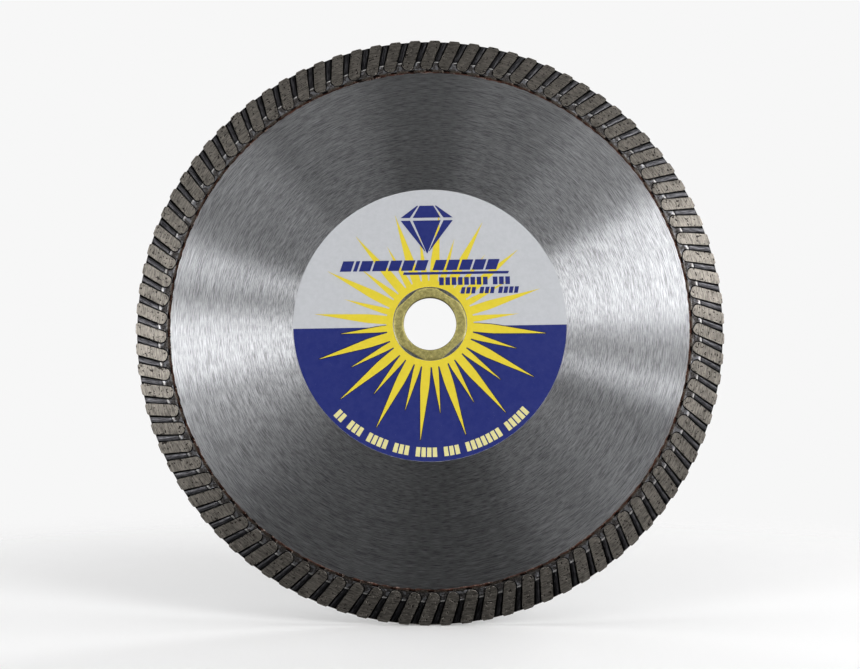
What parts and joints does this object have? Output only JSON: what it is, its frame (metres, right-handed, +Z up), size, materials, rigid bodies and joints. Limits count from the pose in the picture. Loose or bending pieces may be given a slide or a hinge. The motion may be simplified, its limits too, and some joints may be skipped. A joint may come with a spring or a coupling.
{
  "type": "diamond blade",
  "caption": "Round diamond saw blade with a continuous turbo rim of oblique pads, a brushed steel core, a front label and a brass knockout bush in its diamond arbor hole.",
  "frame": {"origin": "centre of the bore, halfway through the steel core", "axes": "+Y along the bore's axis, out of the back of the blade; the label faces -Y; +Z is up, as the label is read"},
  "size_m": [0.1778, 0.0024, 0.1778],
  "materials": {
    "core_steel": "fine concentric brushing",
    "bond_metal": "dull copper-brown, sintered",
    "sintered_rim": "sintered metal, ground flat on the pads",
    "bush_brass": "dull, tumbled",
    "label_print": "printed label, satin laminate"
  },
  "bodies": {
    "blade": {"steel_core": "core_steel", "bond_ring": "bond_metal", "diamond_rim": "sintered_rim", "front_label": "label_print"},
    "bush": {"knockout_bush": "bush_brass"}
  },
  "joints": [
    {"name": "bush_knockout", "type": "slide", "parent": "blade", "child": "bush", "axis": [0, 1, 0], "range_m": [-0.015, 0.015]}
  ]
}
